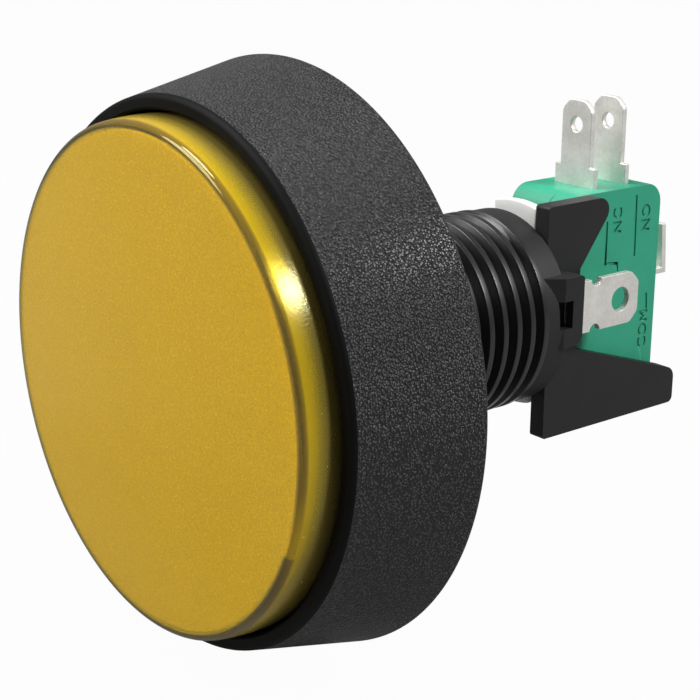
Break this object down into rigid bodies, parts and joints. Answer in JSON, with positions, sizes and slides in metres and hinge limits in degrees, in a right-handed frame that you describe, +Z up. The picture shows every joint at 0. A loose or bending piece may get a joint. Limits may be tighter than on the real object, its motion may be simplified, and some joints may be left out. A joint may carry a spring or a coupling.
{
  "type": "illuminated push button switch",
  "caption": "Large round push button with a clear amber lens, flanged black housing, threaded stem, lamp holder and snap switch behind it.",
  "frame": {"origin": "centre of the housing's rear face, which seats on the panel", "axes": "+Y from the lens through the panel to the switch, +Z up through the switch's upright tabs, +X towards the switch's marked side"},
  "size_m": [0.0648, 0.078, 0.0648],
  "materials": {
    "black_body": "spark-eroded texture on the flange, plain on the stem",
    "black_holder": "satin",
    "amber_lens": "clear amber, polished",
    "diffuser_white": "light-spreading",
    "white_plastic": "natural white",
    "green_plastic": "satin",
    "plated_tab": "tin plated",
    "copper_alloy": "bare spring alloy",
    "contact_silver": "silver faced",
    "spring_steel": "bright wire",
    "lamp_glass": "clear"
  },
  "bodies": {
    "base": {"housing": "black_body", "lamp_holder": "black_holder", "lamp_terminal_near": "plated_tab", "lamp_terminal_far": "plated_tab", "lamp_bulb": "lamp_glass", "lamp_leads": "contact_silver", "switch_case": "green_plastic", "switch_cover": "green_plastic", "normally_closed_terminal": "plated_tab", "normally_open_terminal": "plated_tab", "common_terminal": "plated_tab", "normally_closed_contact": "contact_silver", "normally_open_contact": "contact_silver", "return_spring": "spring_steel"},
    "button": {"lens_cap": "amber_lens", "diffuser": "diffuser_white", "plunger": "black_holder", "actuator_bar": "white_plastic"},
    "switch_pin": {"switch_plunger": "white_plastic"},
    "blade": {"moving_blade": "copper_alloy", "moving_contact": "contact_silver"}
  },
  "joints": [
    {"name": "button_press", "type": "slide", "parent": "base", "child": "button", "axis": [0, 1, 0], "range_m": [0, 0.0028], "stiffness_N_per_m": 900, "deforming": ["return_spring"]},
    {"name": "pin_press", "type": "slide", "parent": "base", "child": "switch_pin", "axis": [0, 1, 0], "range_m": [0, 0.00175]},
    {"name": "blade_swing", "type": "hinge", "parent": "base", "child": "blade", "pos_m": [0, 0.0467, -0.0076], "axis": [-1, 0, 0], "range_deg": [0, 3.4]}
  ],
  "couplings": [
    {"joint": "pin_press", "follows": "button_press", "ratio": 0.625},
    {"joint": "blade_swing", "follows": "button_press", "rad_per_m": 21.191}
  ]
}
